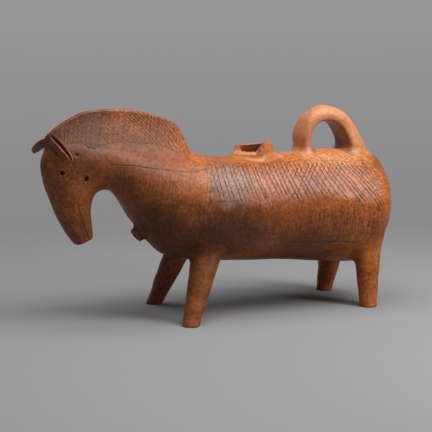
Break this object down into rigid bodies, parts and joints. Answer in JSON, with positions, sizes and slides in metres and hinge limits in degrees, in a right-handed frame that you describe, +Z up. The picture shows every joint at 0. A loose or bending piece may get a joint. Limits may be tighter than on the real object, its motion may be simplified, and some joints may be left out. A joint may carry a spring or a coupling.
{
  "type": "horse-shaped rhyton",
  "caption": "Fired-clay pouring vessel in the shape of a standing horse, with a filling neck and a loop handle on its back and a short spout on its chest.",
  "frame": {"origin": "on the floor under the middle of the vessel's bounding box, level with the soles of the four feet", "axes": "+X from the head to the rump, +Y towards the horse's right side, +Z up"},
  "size_m": [0.3638, 0.1296, 0.2071],
  "materials": {
    "burnished_clay": "burnished, smoke-darkened in places, incised",
    "orange_clay": "burnished, oxidised orange",
    "mottled_clay": "burnished, mottled"
  },
  "bodies": {
    "root": {"body_barrel": "burnished_clay", "rump_cap": "burnished_clay", "neck": "burnished_clay", "head": "burnished_clay", "mane_crest": "burnished_clay", "left_ear": "burnished_clay", "right_ear": "burnished_clay", "chest_spout": "burnished_clay", "filling_neck": "orange_clay", "loop_handle": "orange_clay", "front_left_leg": "mottled_clay", "front_right_leg": "mottled_clay", "rear_left_leg": "mottled_clay", "rear_right_leg": "mottled_clay"}
  },
  "joints": []
}
